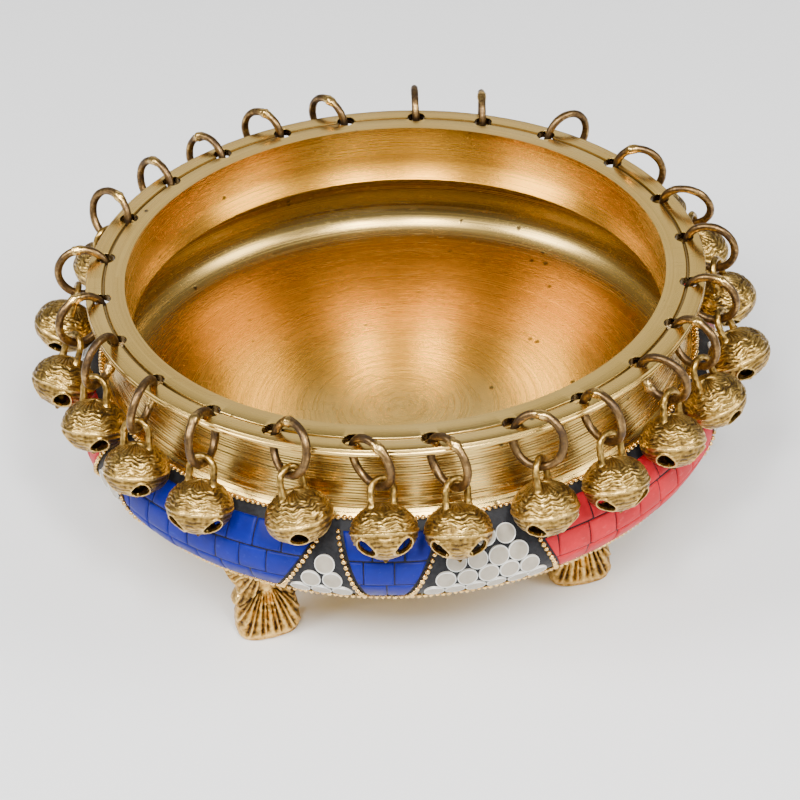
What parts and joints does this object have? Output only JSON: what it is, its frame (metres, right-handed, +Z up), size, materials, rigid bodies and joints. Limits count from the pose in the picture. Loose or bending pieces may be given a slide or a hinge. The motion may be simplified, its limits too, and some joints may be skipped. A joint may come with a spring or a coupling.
{
  "type": "footed urli bowl",
  "caption": "Shallow turned brass bowl with a flanged rim, an inlaid mosaic belly, cast leaf feet and jingle bells hung on wire rings through holes in the rim",
  "frame": {"origin": "middle of the bowl's axis, on the plane of the feet's soles", "axes": "+Z up along the bowl's axis; -Y towards the side seen in the picture"},
  "size_m": [0.2415, 0.2415, 0.0996],
  "materials": {
    "turned_brass": "satin turned brass with fine concentric lines, small pits and scratches",
    "lac": "black lac bed, matte",
    "blue_tile": "ultramarine blue inlay bricks, chalky worn satin",
    "red_tile": "brick red inlay bricks, chalky worn satin",
    "disc": "pale silvery shell discs with a thin bright rim",
    "bead": "rows of small brass beads",
    "cast_brass": "cast antique brass with dark recesses",
    "ring_wire": "worn antique brass wire with brown patina",
    "bell_brass": "cast antique brass with dark recesses and worn bright ridges"
  },
  "bodies": {
    "bowl_body": {"bowl": "turned_brass", "lac_bed": "lac", "blue_tiles": "blue_tile", "red_tiles": "red_tile", "white_discs": "disc", "bead_rows": "bead", "foot_1": "cast_brass", "foot_2": "cast_brass", "foot_3": "cast_brass", "foot_4": "cast_brass"},
    "ring_1": {"ring_1": "ring_wire"},
    "ring_2": {"ring_2": "ring_wire"},
    "ring_3": {"ring_3": "ring_wire"},
    "ring_4": {"ring_4": "ring_wire"},
    "ring_5": {"ring_5": "ring_wire"},
    "ring_6": {"ring_6": "ring_wire"},
    "ring_7": {"ring_7": "ring_wire"},
    "ring_8": {"ring_8": "ring_wire"},
    "ring_9": {"ring_9": "ring_wire"},
    "ring_10": {"ring_10": "ring_wire"},
    "ring_11": {"ring_11": "ring_wire"},
    "ring_12": {"ring_12": "ring_wire"},
    "ring_13": {"ring_13": "ring_wire"},
    "ring_14": {"ring_14": "ring_wire"},
    "ring_15": {"ring_15": "ring_wire"},
    "ring_16": {"ring_16": "ring_wire"},
    "ring_17": {"ring_17": "ring_wire"},
    "ring_18": {"ring_18": "ring_wire"},
    "ring_19": {"ring_19": "ring_wire"},
    "ring_20": {"ring_20": "ring_wire"},
    "ring_21": {"ring_21": "ring_wire"},
    "ring_22": {"ring_22": "ring_wire"},
    "ring_23": {"ring_23": "ring_wire"},
    "ring_24": {"ring_24": "ring_wire"},
    "bell_1": {"bell_1": "bell_brass"},
    "bell_2": {"bell_2": "bell_brass"},
    "bell_3": {"bell_3": "bell_brass"},
    "bell_4": {"bell_4": "bell_brass"},
    "bell_5": {"bell_5": "bell_brass"},
    "bell_6": {"bell_6": "bell_brass"},
    "bell_7": {"bell_7": "bell_brass"},
    "bell_8": {"bell_8": "bell_brass"},
    "bell_9": {"bell_9": "bell_brass"},
    "bell_10": {"bell_10": "bell_brass"},
    "bell_11": {"bell_11": "bell_brass"},
    "bell_12": {"bell_12": "bell_brass"},
    "bell_13": {"bell_13": "bell_brass"},
    "bell_14": {"bell_14": "bell_brass"},
    "bell_15": {"bell_15": "bell_brass"},
    "bell_16": {"bell_16": "bell_brass"},
    "bell_17": {"bell_17": "bell_brass"},
    "bell_18": {"bell_18": "bell_brass"},
    "bell_19": {"bell_19": "bell_brass"},
    "bell_20": {"bell_20": "bell_brass"},
    "bell_21": {"bell_21": "bell_brass"},
    "bell_22": {"bell_22": "bell_brass"},
    "bell_23": {"bell_23": "bell_brass"},
    "bell_24": {"bell_24": "bell_brass"}
  },
  "joints": [
    {"name": "ring_1_swing", "type": "hinge", "parent": "bowl_body", "child": "ring_1", "pos_m": [0.01141, -0.09937, 0.0907], "axis": [-0.7603, -0.6493, 0.0175], "range_deg": [0, 12]},
    {"name": "ring_2_swing", "type": "hinge", "parent": "bowl_body", "child": "ring_2", "pos_m": [0.03738, -0.09263, 0.0907], "axis": [-0.4267, -0.8558, 0.2924], "range_deg": [0, 6]},
    {"name": "ring_3_swing", "type": "hinge", "parent": "bowl_body", "child": "ring_3", "pos_m": [0.05716, -0.08241, 0.0907], "axis": [-0.7604, -0.6494, -0.0087], "range_deg": [0, 12]},
    {"name": "ring_4_swing", "type": "hinge", "parent": "bowl_body", "child": "ring_4", "pos_m": [0.07704, -0.06422, 0.0907], "axis": [-0.5736, -0.8041, -0.1564], "range_deg": [0, 24]},
    {"name": "ring_5_swing", "type": "hinge", "parent": "bowl_body", "child": "ring_5", "pos_m": [0.08991, -0.04429, 0.0907], "axis": [-0.6819, -0.7312, 0.0175], "range_deg": [0, 24]},
    {"name": "ring_6_swing", "type": "hinge", "parent": "bowl_body", "child": "ring_6", "pos_m": [0.09824, -0.02005, 0.0907], "axis": [-0.4066, -0.9132, -0.0262], "range_deg": [0, 24]},
    {"name": "ring_7_swing", "type": "hinge", "parent": "bowl_body", "child": "ring_7", "pos_m": [0.09992, 0.00678, 0.0907], "axis": [-0.366, -0.9291, -0.0523], "range_deg": [0, 24]},
    {"name": "ring_8_swing", "type": "hinge", "parent": "bowl_body", "child": "ring_8", "pos_m": [0.09491, 0.03148, 0.0907], "axis": [-0.2898, -0.919, -0.2672], "range_deg": [0, 24]},
    {"name": "ring_9_swing", "type": "hinge", "parent": "bowl_body", "child": "ring_9", "pos_m": [0.08231, 0.05622, 0.0907], "axis": [-0.2922, -0.9557, 0.0349], "range_deg": [0, 12]},
    {"name": "ring_10_swing", "type": "hinge", "parent": "bowl_body", "child": "ring_10", "pos_m": [0.05898, 0.08095, 0.0907], "axis": [0.4924, -0.8703, 0.0087], "range_deg": [0, 24]},
    {"name": "ring_11_swing", "type": "hinge", "parent": "bowl_body", "child": "ring_11", "pos_m": [0.03373, 0.09437, 0.0907], "axis": [1, -0.0087, 0], "range_deg": [0, 24]},
    {"name": "ring_12_swing", "type": "hinge", "parent": "bowl_body", "child": "ring_12", "pos_m": [0.01006, 0.09979, 0.0907], "axis": [1, 0, 0], "range_deg": [0, 24]},
    {"name": "ring_13_swing", "type": "hinge", "parent": "bowl_body", "child": "ring_13", "pos_m": [-0.01827, 0.09835, 0.0907], "axis": [0.7193, 0.6947, 0], "range_deg": [0, 24]},
    {"name": "ring_14_swing", "type": "hinge", "parent": "bowl_body", "child": "ring_14", "pos_m": [-0.04116, 0.09125, 0.0907], "axis": [0.6012, 0.7979, -0.0436], "range_deg": [0, 24]},
    {"name": "ring_15_swing", "type": "hinge", "parent": "bowl_body", "child": "ring_15", "pos_m": [-0.06172, 0.07902, 0.0907], "axis": [0.6423, 0.7521, -0.1478], "range_deg": [0, 6]},
    {"name": "ring_16_swing", "type": "hinge", "parent": "bowl_body", "child": "ring_16", "pos_m": [-0.07867, 0.06219, 0.0907], "axis": [0.7105, 0.6861, -0.1564], "range_deg": [0, 6]},
    {"name": "ring_17_swing", "type": "hinge", "parent": "bowl_body", "child": "ring_17", "pos_m": [-0.09238, 0.03885, 0.0907], "axis": [0.6385, 0.7217, -0.2672], "range_deg": [0, 24]},
    {"name": "ring_18_swing", "type": "hinge", "parent": "bowl_body", "child": "ring_18", "pos_m": [-0.09962, 0.01151, 0.0907], "axis": [-0.0521, 0.9948, -0.0872], "range_deg": [0, 24]},
    {"name": "ring_19_swing", "type": "hinge", "parent": "bowl_body", "child": "ring_19", "pos_m": [-0.09901, -0.01501, 0.0907], "axis": [-0.5587, 0.8282, -0.0436], "range_deg": [0, 24]},
    {"name": "ring_20_swing", "type": "hinge", "parent": "bowl_body", "child": "ring_20", "pos_m": [-0.09134, -0.04076, 0.0907], "axis": [-0.8426, 0.5265, 0.1132], "range_deg": [0, 24]},
    {"name": "ring_21_swing", "type": "hinge", "parent": "bowl_body", "child": "ring_21", "pos_m": [-0.07755, -0.06332, 0.0907], "axis": [-0.902, 0.3829, 0.1994], "range_deg": [0, 24]},
    {"name": "ring_22_swing", "type": "hinge", "parent": "bowl_body", "child": "ring_22", "pos_m": [-0.05962, -0.08061, 0.0907], "axis": [-0.9041, 0.412, -0.1132], "range_deg": [0, 24]},
    {"name": "ring_23_swing", "type": "hinge", "parent": "bowl_body", "child": "ring_23", "pos_m": [-0.03555, -0.09299, 0.0907], "axis": [-0.7812, -0.547, 0.3007], "range_deg": [0, 12]},
    {"name": "ring_24_swing", "type": "hinge", "parent": "bowl_body", "child": "ring_24", "pos_m": [-0.01126, -0.09908, 0.0907], "axis": [-0.7309, -0.6816, -0.0349], "range_deg": [0, 6]},
    {"name": "bell_1_swing", "type": "hinge", "parent": "ring_1", "child": "bell_1", "pos_m": [0.01528, -0.10421, 0.07959], "axis": [0.603, -0.6955, 0.3907], "range_deg": [0, 6]},
    {"name": "bell_2_swing", "type": "hinge", "parent": "ring_2", "child": "bell_2", "pos_m": [0.04085, -0.09773, 0.08084], "axis": [0.9025, -0.382, 0.1988], "range_deg": [-6, 0]},
    {"name": "bell_3_swing", "type": "hinge", "parent": "ring_3", "child": "bell_3", "pos_m": [0.0623, -0.0883, 0.08178], "axis": [0.6039, -0.7119, 0.3584], "range_deg": [-6, 6]},
    {"name": "bell_4_swing", "type": "hinge", "parent": "ring_4", "child": "bell_4", "pos_m": [0.08333, -0.06681, 0.08094], "axis": [0.768, -0.5943, 0.2389], "range_deg": [-8, 7]},
    {"name": "bell_5_swing", "type": "hinge", "parent": "ring_5", "child": "bell_5", "pos_m": [0.09475, -0.04906, 0.08017], "axis": [0.6954, -0.6407, 0.3255], "range_deg": [-8, 8]},
    {"name": "bell_6_swing", "type": "hinge", "parent": "ring_6", "child": "bell_6", "pos_m": [0.10493, -0.02271, 0.07972], "axis": [0.7978, -0.3689, 0.477], "range_deg": [-8, 8]},
    {"name": "bell_7_swing", "type": "hinge", "parent": "ring_7", "child": "bell_7", "pos_m": [0.10625, 0.0048, 0.08157], "axis": [0.9002, -0.3677, 0.2331], "range_deg": [-4, 8]},
    {"name": "bell_8_swing", "type": "hinge", "parent": "ring_8", "child": "bell_8", "pos_m": [0.10127, 0.03189, 0.08238], "axis": [0.9253, -0.3404, 0.1673], "range_deg": [-3, 8]},
    {"name": "bell_9_swing", "type": "hinge", "parent": "ring_9", "child": "bell_9", "pos_m": [0.08803, 0.05416, 0.08225], "axis": [0.9175, -0.2698, 0.2922], "range_deg": [-3, 8]},
    {"name": "bell_10_swing", "type": "hinge", "parent": "ring_10", "child": "bell_10", "pos_m": [0.06495, 0.08424, 0.08111], "axis": [0.8355, 0.4754, 0.2756], "range_deg": [-6, 8]},
    {"name": "bell_11_swing", "type": "hinge", "parent": "ring_11", "child": "bell_11", "pos_m": [0.03379, 0.1014, 0.08154], "axis": [0.0084, 0.9612, 0.2756], "range_deg": [-8, 8]},
    {"name": "bell_12_swing", "type": "hinge", "parent": "ring_12", "child": "bell_12", "pos_m": [0.01006, 0.10705, 0.08155], "axis": [0, 0.9563, 0.2924], "range_deg": [-8, 8]},
    {"name": "bell_13_swing", "type": "hinge", "parent": "ring_13", "child": "bell_13", "pos_m": [-0.02282, 0.10307, 0.08155], "axis": [-0.6725, 0.6964, 0.2504], "range_deg": [-8, 1]},
    {"name": "bell_14_swing", "type": "hinge", "parent": "ring_14", "child": "bell_14", "pos_m": [-0.04683, 0.09501, 0.08149], "axis": [-0.7626, 0.5892, 0.267], "range_deg": [-8, 5]},
    {"name": "bell_15_swing", "type": "hinge", "parent": "ring_15", "child": "bell_15", "pos_m": [-0.06795, 0.08222, 0.0799], "axis": [-0.6691, 0.6443, 0.3705], "range_deg": [-3, 3]},
    {"name": "bell_16_swing", "type": "hinge", "parent": "ring_16", "child": "bell_16", "pos_m": [-0.08445, 0.0658, 0.08025], "axis": [-0.6314, 0.7197, 0.2888], "range_deg": [-3, 3]},
    {"name": "bell_17_swing", "type": "hinge", "parent": "ring_17", "child": "bell_17", "pos_m": [-0.09851, 0.04124, 0.08248], "axis": [-0.712, 0.6858, 0.1507], "range_deg": [-6, 8]},
    {"name": "bell_18_swing", "type": "hinge", "parent": "ring_18", "child": "bell_18", "pos_m": [-0.10647, 0.0102, 0.07991], "axis": [-0.9276, -0.0159, 0.3732], "range_deg": [-8, 8]},
    {"name": "bell_19_swing", "type": "hinge", "parent": "ring_19", "child": "bell_19", "pos_m": [-0.10499, -0.01959, 0.08026], "axis": [-0.7402, -0.4742, 0.4767], "range_deg": [-8, 8]},
    {"name": "bell_20_swing", "type": "hinge", "parent": "ring_20", "child": "bell_20", "pos_m": [-0.0961, -0.04654, 0.08215], "axis": [-0.4627, -0.8154, 0.348], "range_deg": [-8, 8]},
    {"name": "bell_21_swing", "type": "hinge", "parent": "ring_21", "child": "bell_21", "pos_m": [-0.08205, -0.06874, 0.08074], "axis": [-0.3123, -0.8977, 0.3109], "range_deg": [-8, 3]},
    {"name": "bell_22_swing", "type": "hinge", "parent": "ring_22", "child": "bell_22", "pos_m": [-0.06121, -0.08716, 0.0796], "axis": [-0.4225, -0.8227, 0.3802], "range_deg": [-8, 8]},
    {"name": "bell_23_swing", "type": "hinge", "parent": "ring_23", "child": "bell_23", "pos_m": [-0.03414, -0.0992, 0.08306], "axis": [0.6225, -0.7184, 0.3105], "range_deg": [-8, 0]},
    {"name": "bell_24_swing", "type": "hinge", "parent": "ring_24", "child": "bell_24", "pos_m": [-0.00698, -0.10313, 0.08019], "axis": [0.599, -0.6651, 0.4459], "range_deg": [-6, 0]}
  ]
}
